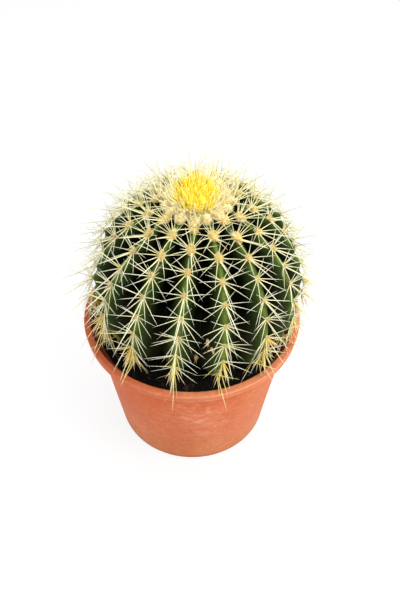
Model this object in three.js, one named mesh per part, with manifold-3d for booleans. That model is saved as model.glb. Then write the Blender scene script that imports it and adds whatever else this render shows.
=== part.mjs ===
// A round barrel cactus in a terracotta-coloured pot.
//
// Millimetres, +Z up. The origin is the centre of the pot's underside, and the object's front is at -Y.
// Four pieces stand in each other: the pot, the soil that fills it, the ribbed stem with its spines,
// and the woolly crown with its young spines.

import * as THREE from 'three';
import { mergeVertices } from 'three/addons/utils/BufferGeometryUtils.js';
import Module from 'manifold-3d';

// Pot
const RIM_RADIUS = 85; // outer edge of the lip: a 17 cm pot
const POT_HEIGHT = 115.4;
const LIP_WIDTH = 5.4; // flat top of the lip
const LIP_HEIGHT = 8; // outer face of the lip
const LIP_ROUNDING = 1.2;
const LIP_TAPER = 0.8; // the lip's outer face leans in by this much towards its lower edge
const NECK_RADIUS = 76.55; // outside of the wall just under the lip
const NECK_DROP = 11; // how far below the top the flare of the lip starts
const NECK_FILLET = 2; // softens the corner between wall and lip
const BASE_RADIUS = 63.5;
const BASE_ROUNDING = 2.5;
const INSIDE_ROUNDING = 5;
const WALL = 2.4;
const FLOOR = 3;
const POT_SEGMENTS = 40;

// Underside of the pot: a centre pad and a foot ring on the ground, with a raised channel between them
const PAD_RADIUS = 24;
const FOOT_INNER_RADIUS = 50;
const CHANNEL_DEPTH = 1.8;
const CHANNEL_SLOPE = 1;
const DRAIN_COUNT = 8;
const DRAIN_RADIUS = 4.5;
const DRAIN_CIRCLE = 37;
const DRAIN_SEGMENTS = 8;
const OUTLET_WIDTH = 8; // gaps in the foot ring that let the water out

// Soil
const CLEARANCE = 0.35; // gap between neighbouring pieces
const SOIL_LEVEL = 104; // at the pot's wall
const SOIL_CREST = 107; // where it meets the stem
const SOIL_SEGMENTS = 40;

// Stem
const STEM_RADIUS = 77.6; // over the rib crests at the widest place
const STEM_MIDDLE = 147.1; // height of the widest place
const STEM_ABOVE = 79.8; // from the widest place to the top
const STEM_BELOW = 54; // from the widest place to the bottom of the round, below the soil line
const STEM_OFFSET = 4.4; // the plant stands this far off the pot's axis, towards +X
const LEAN_FORWARD = 0.0523; // radians, towards -Y
const LEAN_LEFT = 0.0093; // radians, towards -X
const RIBS = 15;
const RIB_DEPTH = 16;
const RIB_START = -Math.PI / 2 - 0.2114; // azimuth of the first rib's crest at the widest place
const RIB_TWIST = 0.0944; // turn of a rib, in radians, for each radian up the stem
const RIB_SHAPE = [[0, 0], [0.13, 0.12], [0.5, 1], [0.87, 0.12]]; // place in the pitch, share of the depth
const SMOOTH_TOP_RADIUS = 22; // the growing point has no ribs yet
const FULL_RIB_RADIUS = 50;
const STEM_ROWS = 17; // steps from the soil up to the growing point
const BURIED_ANGLE = -0.98; // where the round of the stem turns into the root stub
const ROOT_RADIUS = 14;
const ROOT_TIP_RADIUS = 10;
const ROOT_BOTTOM = 78;
const ROOT_TIP_LENGTH = 6;
const TOP_ROWS = 3; // steps over the growing point

// Areoles and spines
const AREOLE_ANGLE = THREE.MathUtils.degToRad(71.3); // of an areole on the first rib, measured up the stem
const HIGHEST_AREOLE = THREE.MathUtils.degToRad(72.2);
const LOWEST_AREOLE = THREE.MathUtils.degToRad(-32);
const AREOLE_STEP = THREE.MathUtils.degToRad(10.9);
const AREOLE_SPIRAL = 7; // from one rib to the next the areoles move down by this many fifteenths of a step
const PAD_ROOT_RADIUS = 4.6; // a felt pad's cone at its root inside the rib
const PAD_HEIGHT = 1.5; // its tip above the crest
const PAD_SIDES = 5;
const SPINE_ROOT_RADIUS = 0.62;
const SPINE_SUNK = 3.5; // depth of a spine's root below the rib's crest
const SPINE_SPREAD = 1.4; // distance from the areole's centre at which a spine leaves it
const SPINE_SOIL_GAP = 2; // tips stay this far above the soil and the lip
const SPINE_POT_GAP = 1.5;
const UPPER_SPINE_TURN = 90; // degrees from straight down the rib, beyond which a spine is an upper one
const STEEP_FROM = THREE.MathUtils.degToRad(50); // from here up the upper spines rise clear of the crown
const STEEP_LIFT = THREE.MathUtils.degToRad(38);
const LIP_ZONE = 16; // a tip this far inside the lip's outer edge, or beyond, passes over the lip
const SPINE_TURN_SPREAD = THREE.MathUtils.degToRad(8); // random part of a spine's direction, either way
const SPINE_LIFT_SPREAD = THREE.MathUtils.degToRad(6);
const SPINE_LENGTH_SPREAD = 0.15; // random part of a spine's length, either way
// Each spine of an areole: degrees from straight down the rib, degrees off the surface, length
const SPINES = [[6, 42, 23], [-58, 24, 21], [64, 26, 21], [-118, 30, 19], [124, 28, 19]];
const WOOLLY_ANGLE = THREE.MathUtils.degToRad(61.5); // above this the areoles have a raised pad of felt
const SEED = 11;

// Crown
const CROWN_RADIUS = 20.5;
const WOOL_HEIGHT = 3.4;
// The wool's upper side: share of the radius, share of the height
const WOOL_TOP = [[0, 0.6], [0.35, 0.7], [0.65, 1], [0.85, 0.85], [0.97, 0.35]];
const WOOL_UNDER_STEPS = 4;
const CROWN_SEGMENTS = 30;
const YOUNG_SPINES = 110;
const YOUNG_SPINE_LENGTH = 15;
const YOUNG_SPINE_RADIUS = 0.55;
const YOUNG_ROOT_RISE = 1; // a young spine's root is this far above the stem, inside the wool
const YOUNG_SPINE_SPLAY = 0.42; // radians off the stem's axis at the rim of the tuft
const YOUNG_SPLAY_SPREAD = 0.15; // random part of the splay, either way
const YOUNG_TURN_SPREAD = 0.3;
const YOUNG_LENGTH_SPREAD = 0.2;
const TUFT_RADIUS = 17;

const wasm = await Module();
wasm.setup();

// A repeatable random source, so that every build is the same. A call gives a number from -spread to +spread.
function randomSource(seed) {
  const modulus = 4294967296;
  let state = seed;
  return (spread) => {
    state = (state * 1664525 + 1013904223) % modulus;
    return spread * ((2 * state) / modulus - 1);
  };
}

function signedVolume(positions, triangles) {
  const a = new THREE.Vector3();
  const b = new THREE.Vector3();
  const c = new THREE.Vector3();
  let volume = 0;
  for (let i = 0; i < triangles.length; i += 3) {
    a.fromArray(positions, 3 * triangles[i]);
    b.fromArray(positions, 3 * triangles[i + 1]);
    c.fromArray(positions, 3 * triangles[i + 2]);
    volume += a.dot(b.cross(c)) / 6;
  }
  return volume;
}

// Turns a closed geometry into a solid, with its faces pointing out
function solid(geometry) {
  const bare = geometry.clone();
  bare.deleteAttribute('normal');
  bare.deleteAttribute('uv');
  const merged = mergeVertices(bare, 1e-4);
  const vertProperties = new Float32Array(merged.attributes.position.array);
  const triVerts = new Uint32Array(merged.index.array.length);
  let kept = 0;
  for (let i = 0; i < merged.index.array.length; i += 3) {
    const [a, b, c] = merged.index.array.slice(i, i + 3);
    if (a !== b && b !== c && c !== a) {
      triVerts.set([a, b, c], kept);
      kept += 3;
    }
  }
  const triangles = triVerts.slice(0, kept);
  if (signedVolume(vertProperties, triangles) < 0) {
    for (let i = 0; i < kept; i += 3) {
      [triangles[i + 1], triangles[i + 2]] = [triangles[i + 2], triangles[i + 1]];
    }
  }
  return new wasm.Manifold(new wasm.Mesh({ numProp: 3, vertProperties, triVerts: triangles }));
}

function geometryOf(manifold) {
  const { vertProperties, triVerts } = manifold.getMesh();
  const geometry = new THREE.BufferGeometry();
  geometry.setAttribute('position', new THREE.BufferAttribute(new Float32Array(vertProperties), 3));
  geometry.setIndex(new THREE.BufferAttribute(new Uint32Array(triVerts), 1));
  geometry.computeVertexNormals();
  return geometry;
}

// A solid of revolution about +Z from a list of [radius, height] points
function revolved(points, segments) {
  const profile = points.map(([radius, height]) => new THREE.Vector2(radius, height));
  return new THREE.LatheGeometry(profile, segments).rotateX(Math.PI / 2);
}

function meshOf(name, geometry, color, roughness) {
  const mesh = new THREE.Mesh(geometry, new THREE.MeshStandardMaterial({ color, roughness, metalness: 0 }));
  mesh.name = name;
  return mesh;
}

// Points of a quarter round, from the first angle to the second, in degrees
function arc(centreRadius, centreHeight, radius, from, to, steps) {
  return Array.from({ length: steps + 1 }, (_, i) => {
    const angle = THREE.MathUtils.degToRad(from + ((to - from) * i) / steps);
    return [centreRadius + radius * Math.cos(angle), centreHeight + radius * Math.sin(angle)];
  });
}

// Outer radius of the pot's straight wall at a height
function wallRadius(height) {
  const wallTop = POT_HEIGHT - NECK_DROP;
  return BASE_RADIUS + ((NECK_RADIUS - BASE_RADIUS) * height) / wallTop;
}

function makePot() {
  const lipBottom = POT_HEIGHT - LIP_HEIGHT;
  const wallTop = POT_HEIGHT - NECK_DROP;
  const mouthRadius = RIM_RADIUS - LIP_WIDTH;
  const underside = [
    [0, 0],
    [PAD_RADIUS, 0],
    [PAD_RADIUS + CHANNEL_SLOPE, CHANNEL_DEPTH],
    [FOOT_INNER_RADIUS - CHANNEL_SLOPE, CHANNEL_DEPTH],
    [FOOT_INNER_RADIUS, 0],
  ];
  const outside = [
    ...arc(wallRadius(BASE_ROUNDING) - BASE_ROUNDING, BASE_ROUNDING, BASE_ROUNDING, -90, 0, 2),
    [wallRadius(wallTop), wallTop],
    [NECK_RADIUS + NECK_FILLET, lipBottom - NECK_FILLET],
    [RIM_RADIUS - LIP_TAPER, lipBottom],
    ...arc(RIM_RADIUS - LIP_ROUNDING, POT_HEIGHT - LIP_ROUNDING, LIP_ROUNDING, 0, 90, 1),
  ];
  const inside = [
    [mouthRadius + LIP_ROUNDING, POT_HEIGHT],
    [mouthRadius, POT_HEIGHT - LIP_ROUNDING],
    [wallRadius(wallTop) - WALL, wallTop],
    [wallRadius(FLOOR + INSIDE_ROUNDING) - WALL, FLOOR + INSIDE_ROUNDING],
    [wallRadius(FLOOR) - WALL - INSIDE_ROUNDING, FLOOR],
    [0, FLOOR],
  ];
  let pot = solid(revolved([...underside, ...outside, ...inside], POT_SEGMENTS));
  const drain = new THREE.CylinderGeometry(DRAIN_RADIUS, DRAIN_RADIUS, 4 * FLOOR, DRAIN_SEGMENTS);
  drain.rotateX(Math.PI / 2);
  const footWidth = BASE_RADIUS - FOOT_INNER_RADIUS;
  const outlet = new THREE.BoxGeometry(2 * footWidth, OUTLET_WIDTH, 2 * CHANNEL_DEPTH);
  outlet.translate(FOOT_INNER_RADIUS + footWidth - CHANNEL_SLOPE, 0, 0);
  for (let i = 0; i < DRAIN_COUNT; i += 1) {
    const angle = (2 * Math.PI * i) / DRAIN_COUNT;
    const hole = drain.clone().translate(DRAIN_CIRCLE, 0, 0).rotateZ(angle);
    pot = pot.subtract(solid(hole));
    pot = pot.subtract(solid(outlet.clone().rotateZ(angle + Math.PI / DRAIN_COUNT)));
  }
  return meshOf('pot', geometryOf(pot), 0xcf7148, 0.75);
}

// Crest of a rib at an angle up the stem, as radius and height before the plant's lean and offset
function crestPoint(angle) {
  const rise = angle > 0 ? STEM_ABOVE : STEM_BELOW;
  return [STEM_RADIUS * Math.cos(angle), STEM_MIDDLE + rise * Math.sin(angle)];
}

// How deep the furrows are where the crest has a given radius
function furrowDepth(radius, angle) {
  const towardsTop = THREE.MathUtils.smoothstep(radius, SMOOTH_TOP_RADIUS, FULL_RIB_RADIUS);
  const share = angle > 0 ? towardsTop : radius / STEM_RADIUS;
  return RIB_DEPTH * share;
}

// The plant's lean and offset: it turns about the middle of the stem and moves off the pot's axis
const plantPlace = new THREE.Matrix4()
  .makeTranslation(STEM_OFFSET, 0, STEM_MIDDLE)
  .multiply(new THREE.Matrix4().makeRotationFromEuler(new THREE.Euler(LEAN_FORWARD, -LEAN_LEFT, 0)))
  .multiply(new THREE.Matrix4().makeTranslation(0, 0, -STEM_MIDDLE));

// Angles up the stem of the rows of points, from the root end to the growing point
function stemAngles() {
  const top = Math.acos(SMOOTH_TOP_RADIUS / STEM_RADIUS);
  const step = (top - BURIED_ANGLE) / STEM_ROWS;
  return Array.from({ length: STEM_ROWS + 1 }, (_, i) => BURIED_ANGLE + step * i);
}

// The ribbed stem as a revolved profile whose points are pushed in between the crests. A positive swell makes
// it fatter all round, which gives the shape of the hole that it stands in.
function stemGeometry(swell) {
  const angles = stemAngles();
  const topStart = angles[angles.length - 1];
  const profile = [
    [0, ROOT_BOTTOM - swell],
    [ROOT_TIP_RADIUS, ROOT_BOTTOM - swell],
    [ROOT_RADIUS, ROOT_BOTTOM + ROOT_TIP_LENGTH],
  ];
  const rootRows = profile.length;
  angles.forEach((angle) => profile.push(crestPoint(angle)));
  for (let i = 1; i <= TOP_ROWS; i += 1) {
    const [radius, height] = crestPoint(topStart + ((Math.PI / 2 - topStart) * i) / TOP_ROWS);
    profile.push([i === TOP_ROWS ? 0 : radius, height]);
  }
  const columns = RIB_SHAPE.length;
  const geometry = revolved(profile, RIBS * columns);
  const position = geometry.attributes.position;
  const pitch = (2 * Math.PI) / RIBS;
  for (let column = 0; column <= RIBS * columns; column += 1) {
    const rib = Math.floor(column / columns);
    const [place, depth] = RIB_SHAPE[column % columns];
    for (let row = 0; row < profile.length; row += 1) {
      const stemRow = row - rootRows;
      const onStem = stemRow >= 0 && stemRow < angles.length;
      const nearestRow = THREE.MathUtils.clamp(stemRow, 0, angles.length - 1);
      const twist = RIB_TWIST * angles[nearestRow];
      const [crest, height] = profile[row];
      const furrow = onStem ? depth * furrowDepth(crest, angles[stemRow]) : 0;
      const radius = crest > 0 ? crest - furrow + swell : 0;
      const azimuth = RIB_START + twist + ((rib % RIBS) + place) * pitch;
      const index = column * profile.length + row;
      position.setXYZ(index, radius * Math.cos(azimuth), radius * Math.sin(azimuth), height);
    }
  }
  return geometry.applyMatrix4(plantPlace);
}

// A thin spike from a point inside the stem to its tip
function spike(root, tip, radius, sides = 3) {
  const length = root.distanceTo(tip);
  const geometry = new THREE.ConeGeometry(radius, length, sides, 1);
  geometry.translate(0, length / 2, 0);
  const direction = tip.clone().sub(root).normalize();
  geometry.applyQuaternion(new THREE.Quaternion().setFromUnitVectors(new THREE.Vector3(0, 1, 0), direction));
  geometry.translate(root.x, root.y, root.z);
  return solid(geometry);
}

// Where an areole sits, with the directions out of the rib, down along it and across it
function areoleFrame(rib, angle) {
  const azimuth = RIB_START + RIB_TWIST * angle + (rib * 2 * Math.PI) / RIBS;
  const [radius, height] = crestPoint(angle);
  const rise = angle > 0 ? STEM_ABOVE : STEM_BELOW;
  const around = new THREE.Vector3(-Math.sin(azimuth), Math.cos(azimuth), 0);
  const outwards = new THREE.Vector3(Math.cos(azimuth), Math.sin(azimuth), 0);
  const up = new THREE.Vector3(0, 0, 1);
  const along = outwards.clone().multiplyScalar(-STEM_RADIUS * Math.sin(angle));
  along.addScaledVector(up, rise * Math.cos(angle));
  const down = along.normalize().negate();
  const out = new THREE.Vector3().crossVectors(down, around).normalize();
  if (out.dot(outwards) + out.z * Math.sign(angle) < 0) {
    out.negate();
  }
  const place = outwards.clone().multiplyScalar(radius).addScaledVector(up, height);
  place.applyMatrix4(plantPlace);
  [out, down, around].forEach((direction) => direction.transformDirection(plantPlace));
  return { place, out, down, around };
}

// Lifts a spine's tip clear of the soil and of the pot's lip
function clearTip(tip) {
  const reach = Math.hypot(tip.x, tip.y);
  const overLip = reach > RIM_RADIUS - LIP_ZONE;
  const lowest = overLip ? POT_HEIGHT + SPINE_POT_GAP : SOIL_CREST + SPINE_SOIL_GAP;
  tip.z = Math.max(tip.z, lowest);
  return tip;
}

// One areole: a low felted pad with its star of spines
function areole(rib, angle, random) {
  const { place, out, down, around } = areoleFrame(rib, angle);
  const core = place.clone().addScaledVector(out, -SPINE_SUNK);
  const pieces = [];
  if (angle > WOOLLY_ANGLE) {
    const padTip = place.clone().addScaledVector(out, PAD_HEIGHT);
    pieces.push(spike(core, padTip, PAD_ROOT_RADIUS, PAD_SIDES));
  }
  SPINES.forEach(([turn, lift, length]) => {
    const turned = THREE.MathUtils.degToRad(turn) + random(SPINE_TURN_SPREAD);
    const isUpper = Math.abs(turn) > UPPER_SPINE_TURN;
    const steep = isUpper ? STEEP_LIFT * THREE.MathUtils.smoothstep(angle, STEEP_FROM, AREOLE_ANGLE) : 0;
    const lifted = THREE.MathUtils.degToRad(lift) + steep + random(SPINE_LIFT_SPREAD);
    const sideways = down.clone().multiplyScalar(Math.cos(turned)).addScaledVector(around, Math.sin(turned));
    const direction = sideways.clone().multiplyScalar(Math.cos(lifted));
    direction.addScaledVector(out, Math.sin(lifted));
    const reach = length * (1 + random(SPINE_LENGTH_SPREAD));
    const start = place.clone().addScaledVector(sideways, SPINE_SPREAD);
    const tip = clearTip(start.clone().addScaledVector(direction, reach));
    pieces.push(spike(core, tip, SPINE_ROOT_RADIUS));
  });
  return pieces;
}

function makeCactus() {
  const random = randomSource(SEED);
  const pieces = [solid(stemGeometry(0))];
  for (let rib = 0; rib < RIBS; rib += 1) {
    const phase = ((rib * AREOLE_SPIRAL) / RIBS) % 1;
    let angle = AREOLE_ANGLE + (1 - phase) * AREOLE_STEP;
    while (angle > HIGHEST_AREOLE) {
      angle -= AREOLE_STEP;
    }
    for (; angle > LOWEST_AREOLE; angle -= AREOLE_STEP) {
      pieces.push(...areole(rib, angle, random));
    }
  }
  return meshOf('cactus', geometryOf(wasm.Manifold.union(pieces)), 0x3f6b3a, 0.6);
}

function makeSoil() {
  const floor = FLOOR + CLEARANCE;
  const wallGap = 1.5 * CLEARANCE; // both walls are faceted, so a little more than the clearance
  const stemLine = crestPoint(Math.asin((SOIL_CREST - STEM_MIDDLE) / STEM_BELOW))[0];
  const profile = [
    [0, floor],
    [wallRadius(floor) - WALL - INSIDE_ROUNDING - CLEARANCE, floor],
    [wallRadius(floor + INSIDE_ROUNDING) - WALL - wallGap, floor + INSIDE_ROUNDING],
    [wallRadius(SOIL_LEVEL) - WALL - wallGap, SOIL_LEVEL],
    [stemLine, SOIL_CREST],
    [0, SOIL_CREST],
  ];
  const fill = solid(revolved(profile, SOIL_SEGMENTS));
  return meshOf('soil', geometryOf(fill.subtract(solid(stemGeometry(CLEARANCE)))), 0x1d1714, 0.95);
}

// Height of the smooth growing point at a distance from the stem's axis
function topHeight(radius) {
  return STEM_MIDDLE + STEM_ABOVE * Math.sqrt(1 - (radius / STEM_RADIUS) ** 2);
}

function makeCrown() {
  const random = randomSource(SEED + 1);
  const under = Array.from({ length: WOOL_UNDER_STEPS + 1 }, (_, i) => {
    const radius = CROWN_RADIUS * (1 - i / WOOL_UNDER_STEPS);
    return [radius, topHeight(radius) + CLEARANCE];
  });
  const over = WOOL_TOP.map(([share, height]) => {
    const radius = share * CROWN_RADIUS;
    return [radius, topHeight(radius) + CLEARANCE + height * WOOL_HEIGHT];
  });
  const wool = revolved([...under, ...over, under[0]], CROWN_SEGMENTS);
  const pieces = [solid(wool.applyMatrix4(plantPlace))];
  const goldenAngle = Math.PI * (3 - Math.sqrt(5));
  for (let i = 0; i < YOUNG_SPINES; i += 1) {
    const share = Math.sqrt((i + 0.5) / YOUNG_SPINES);
    const azimuth = i * goldenAngle;
    const radius = share * TUFT_RADIUS;
    const rootHeight = topHeight(radius) + YOUNG_ROOT_RISE;
    const root = new THREE.Vector3(radius * Math.cos(azimuth), radius * Math.sin(azimuth), rootHeight);
    const splay = YOUNG_SPINE_SPLAY * share + random(YOUNG_SPLAY_SPREAD);
    const turn = azimuth + random(YOUNG_TURN_SPREAD);
    const length = YOUNG_SPINE_LENGTH * (1 + random(YOUNG_LENGTH_SPREAD));
    const direction = new THREE.Vector3(
      Math.sin(splay) * Math.cos(turn),
      Math.sin(splay) * Math.sin(turn),
      Math.cos(splay),
    );
    const tip = root.clone().addScaledVector(direction, length);
    pieces.push(spike(root.applyMatrix4(plantPlace), tip.applyMatrix4(plantPlace), YOUNG_SPINE_RADIUS));
  }
  return meshOf('crown', geometryOf(wasm.Manifold.union(pieces)), 0xf2d53a, 0.85);
}

const pottedCactus = new THREE.Group();
pottedCactus.add(makePot(), makeSoil(), makeCactus(), makeCrown());

export default pottedCactus;
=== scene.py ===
# A round barrel cactus in a terracotta-coloured pot: the finish of every surface.
#
# Metres, +Z up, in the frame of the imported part. The front is at -Y. Sizes that the part's source names too
# are given here in millimetres, as there, and turned into metres by MM.

import math
import random

import bmesh
import bpy
import numpy as np
from mathutils import Matrix, Vector, noise
from mathutils.bvhtree import BVHTree


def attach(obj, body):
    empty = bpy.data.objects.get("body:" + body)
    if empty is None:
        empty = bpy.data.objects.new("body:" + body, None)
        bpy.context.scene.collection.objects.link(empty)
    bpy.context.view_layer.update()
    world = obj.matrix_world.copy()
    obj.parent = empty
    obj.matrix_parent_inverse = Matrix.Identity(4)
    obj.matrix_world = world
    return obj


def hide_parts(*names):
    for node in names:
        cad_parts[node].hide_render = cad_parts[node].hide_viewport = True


MM = 0.001
BODY = "root"

# Camera, fitted to the photograph's outlines: its place, its angles in degrees and its focal length in pixels
CAMERA_PLACE = Vector((0.0, -352.7, 481.7)) * MM
CAMERA_PITCH = 45.194
CAMERA_YAW = 0.99
CAMERA_ROLL = 0.44
FOCAL_PIXELS = 642.1
PHOTO_WIDTH = 400
PHOTO_HEIGHT = 600
SENSOR = 36.0

# Pot
RIM_RADIUS = 85.0
POT_HEIGHT = 115.4
LIP_WIDTH = 5.4
LIP_HEIGHT = 8.0
LIP_BOTTOM = POT_HEIGHT - LIP_HEIGHT
LIP_TAPER = 0.8
NECK_RADIUS = 76.55
NECK_DROP = 11.0
WALL_TOP = POT_HEIGHT - NECK_DROP
BASE_RADIUS = 63.5
WALL = 2.4
FLOOR = 3.0
PAD_RADIUS = 24.0
FOOT_INNER_RADIUS = 50.0
FOOT_EDGE = 0.3
CHANNEL_DEPTH = 1.8
DRAIN_COUNT = 8
DRAIN_RADIUS = 4.5
DRAIN_CIRCLE = 37.0
OUTLET_WIDTH = 8.0
POT_COLUMNS = 192

# Soil
SOIL_LEVEL = 104.0
SOIL_CREST = 107.0
SOIL_GAP = 0.5
SOIL_INNER_RADIUS = 20.0
SOIL_ROWS = 46
SOIL_COLUMNS = 240
CRUMB_COUNT = 1500
CRUMB_INNER_RADIUS = 40.0

# Stem
STEM_RADIUS = 77.6
STEM_MIDDLE = 147.1
STEM_ABOVE = 79.8
STEM_BELOW = 54.0
STEM_OFFSET = 4.4
LEAN_FORWARD = 0.0523
LEAN_LEFT = 0.0093
RIBS = 15
RIB_DEPTH = 16.0
RIB_ROUNDING = 0.11
RIB_START = -math.pi / 2 - 0.2114
RIB_TWIST = 0.0944
PITCH = math.tau / RIBS
SMOOTH_TOP_RADIUS = 22.0
FULL_RIB_RADIUS = 50.0
BURIED_ANGLE = -0.98
TOP_ANGLE = math.radians(89.0)
ROOT_RADIUS = 14.0
ROOT_BOTTOM = 78.0
STEM_ROWS = 150
COLUMNS_PER_RIB = 26

# Areoles
AREOLE_ANGLE = math.radians(71.3)
AREOLE_STEP = math.radians(10.9)
HIGHEST_AREOLE = math.radians(76.0)
LOWEST_AREOLE = math.radians(-32.0)
AREOLE_SPIRAL = 7
YOUNG_FROM = math.radians(48)
YOUNG_TO = math.radians(72)
LOWEST_IVORY_AREOLE = math.radians(8.0)
LOWEST_OPEN_AREOLE = math.radians(-8.0)
SIDE_FACING = 0.55

PLANT_PLACE = (
    Matrix.Translation((STEM_OFFSET, 0, STEM_MIDDLE))
    @ Matrix.Rotation(LEAN_FORWARD, 4, "X")
    @ Matrix.Rotation(-LEAN_LEFT, 4, "Y")
    @ Matrix.Translation((0, 0, -STEM_MIDDLE))
)
PLANT_TURN = PLANT_PLACE.to_3x3()


def smoothstep(value, low, high):
    share = min(max((value - low) / (high - low), 0.0), 1.0)
    return share * share * (3 - 2 * share)


def mix(a, b, share):
    return a + (b - a) * share


def grey(value):
    return (value, value, value)


def polar_point(radius, azimuth, height=0.0):
    """The point at a distance from +Z and an angle about it."""
    return Vector((radius * math.cos(azimuth), radius * math.sin(azimuth), height))


# Mesh helpers. Builders work in millimetres, and new_mesh() turns them into metres.


class Build:
    """Collects vertices, faces and three values per vertex, for a piece made of many small forms."""

    def __init__(self):
        self.points = []
        self.faces = []
        self.values = []

    def add(self, points, faces, values):
        start = len(self.points)
        self.points.extend(points)
        self.faces.extend([tuple(start + i for i in face) for face in faces])
        self.values.extend(values)


def new_mesh(name, points, faces):
    mesh = bpy.data.meshes.new(name)
    mesh.from_pydata([tuple(c * MM for c in p) for p in points], [], faces)
    return mesh


def add_object(name, data):
    """Makes an object and links it to the scene."""
    thing = bpy.data.objects.new(name, data)
    bpy.context.scene.collection.objects.link(thing)
    return thing


def smooth_faces(mesh):
    mesh.polygons.foreach_set("use_smooth", np.ones(len(mesh.polygons), bool))


def new_piece(name, build, material, replaced=()):
    """Makes the object of a Build, smooth-shaded, riding on the one body."""
    mesh = new_mesh(name, build.points, build.faces)
    if build.values:
        attribute = mesh.color_attributes.new("traits", "FLOAT_COLOR", "POINT")
        flat = np.ones((len(build.values), 4), np.float32)
        flat[:, :3] = np.array(build.values, np.float32)
        attribute.data.foreach_set("color", flat.ravel())
    smooth_faces(mesh)
    mesh.validate()
    mesh.update()
    mesh.materials.append(material)
    piece = add_object(name, mesh)
    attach(piece, BODY)
    if replaced:
        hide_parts(*replaced)
    return piece


def ring_quads(rings, columns):
    """The faces between rings of vertices: two corners of the lower ring, then two of the upper one."""
    for ring in range(rings - 1):
        for column in range(columns):
            after = (column + 1) % columns
            low = ring * columns
            high = low + columns
            yield low + column, low + after, high + after, high + column


def fan(first, columns, tip):
    """The faces from a ring, whose first vertex is given, to a tip."""
    return [(first + column, first + (column + 1) % columns, tip) for column in range(columns)]


def revolve(profile, columns):
    """Points and faces of a profile turned about +Z. A point at radius 0 becomes one vertex."""
    points = []
    rings = []
    for radius, height in profile:
        if radius < 1e-6:
            rings.append([len(points)] * columns)
            points.append((0.0, 0.0, height))
            continue
        rings.append(range(len(points), len(points) + columns))
        for column in range(columns):
            angle = math.tau * column / columns
            points.append((radius * math.cos(angle), radius * math.sin(angle), height))
    faces = []
    for low, high in zip(rings, rings[1:]):
        for column in range(columns):
            after = (column + 1) % columns
            face = tuple(dict.fromkeys((low[column], low[after], high[after], high[column])))
            if len(face) > 2:
                faces.append(face)
    return points, faces


def spike_points(path, radii, sides):
    """A tapered tube round a path of Vectors. Its last radius is a point."""
    points = []
    across = (path[1] - path[0]).normalized().orthogonal().normalized()
    for place, radius, ahead in zip(path, radii, path[1:]):
        direction = (ahead - place).normalized()
        across = (across - direction * across.dot(direction)).normalized()
        beside = direction.cross(across)
        for side in range(sides):
            angle = math.tau * side / sides
            points.append(place + (across * math.cos(angle) + beside * math.sin(angle)) * radius)
    tip = len(points)
    points.append(path[-1])
    faces = list(ring_quads(len(path) - 1, sides))
    faces += fan(tip - sides, sides, tip)
    faces.append(tuple(reversed(range(sides))))
    return points, faces


def add_hair(build, root, tip, radius, values):
    """A short straight hair with three sides."""
    points, faces = spike_points([root, tip], [radius, 0.0], 3)
    build.add(points, faces, [values] * len(points))


def lump_points(place, sizes, axes, detail, roughness, seed):
    """A lumpy ball: a subdivided icosahedron, stretched along three axes and made uneven."""
    ball = bmesh.new()
    bmesh.ops.create_icosphere(ball, subdivisions=detail, radius=1.0)
    points = []
    for vertex in ball.verts:
        uneven = 1 + roughness * noise.noise(vertex.co * 1.7 + Vector((seed, 0, 0)))
        local = vertex.co * uneven
        offsets = [axis * part * size for axis, part, size in zip(axes, local, sizes)]
        points.append(place + offsets[0] + offsets[1] + offsets[2])
    faces = [tuple(v.index for v in face.verts) for face in ball.faces]
    ball.free()
    return points, faces


# Material helper


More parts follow.
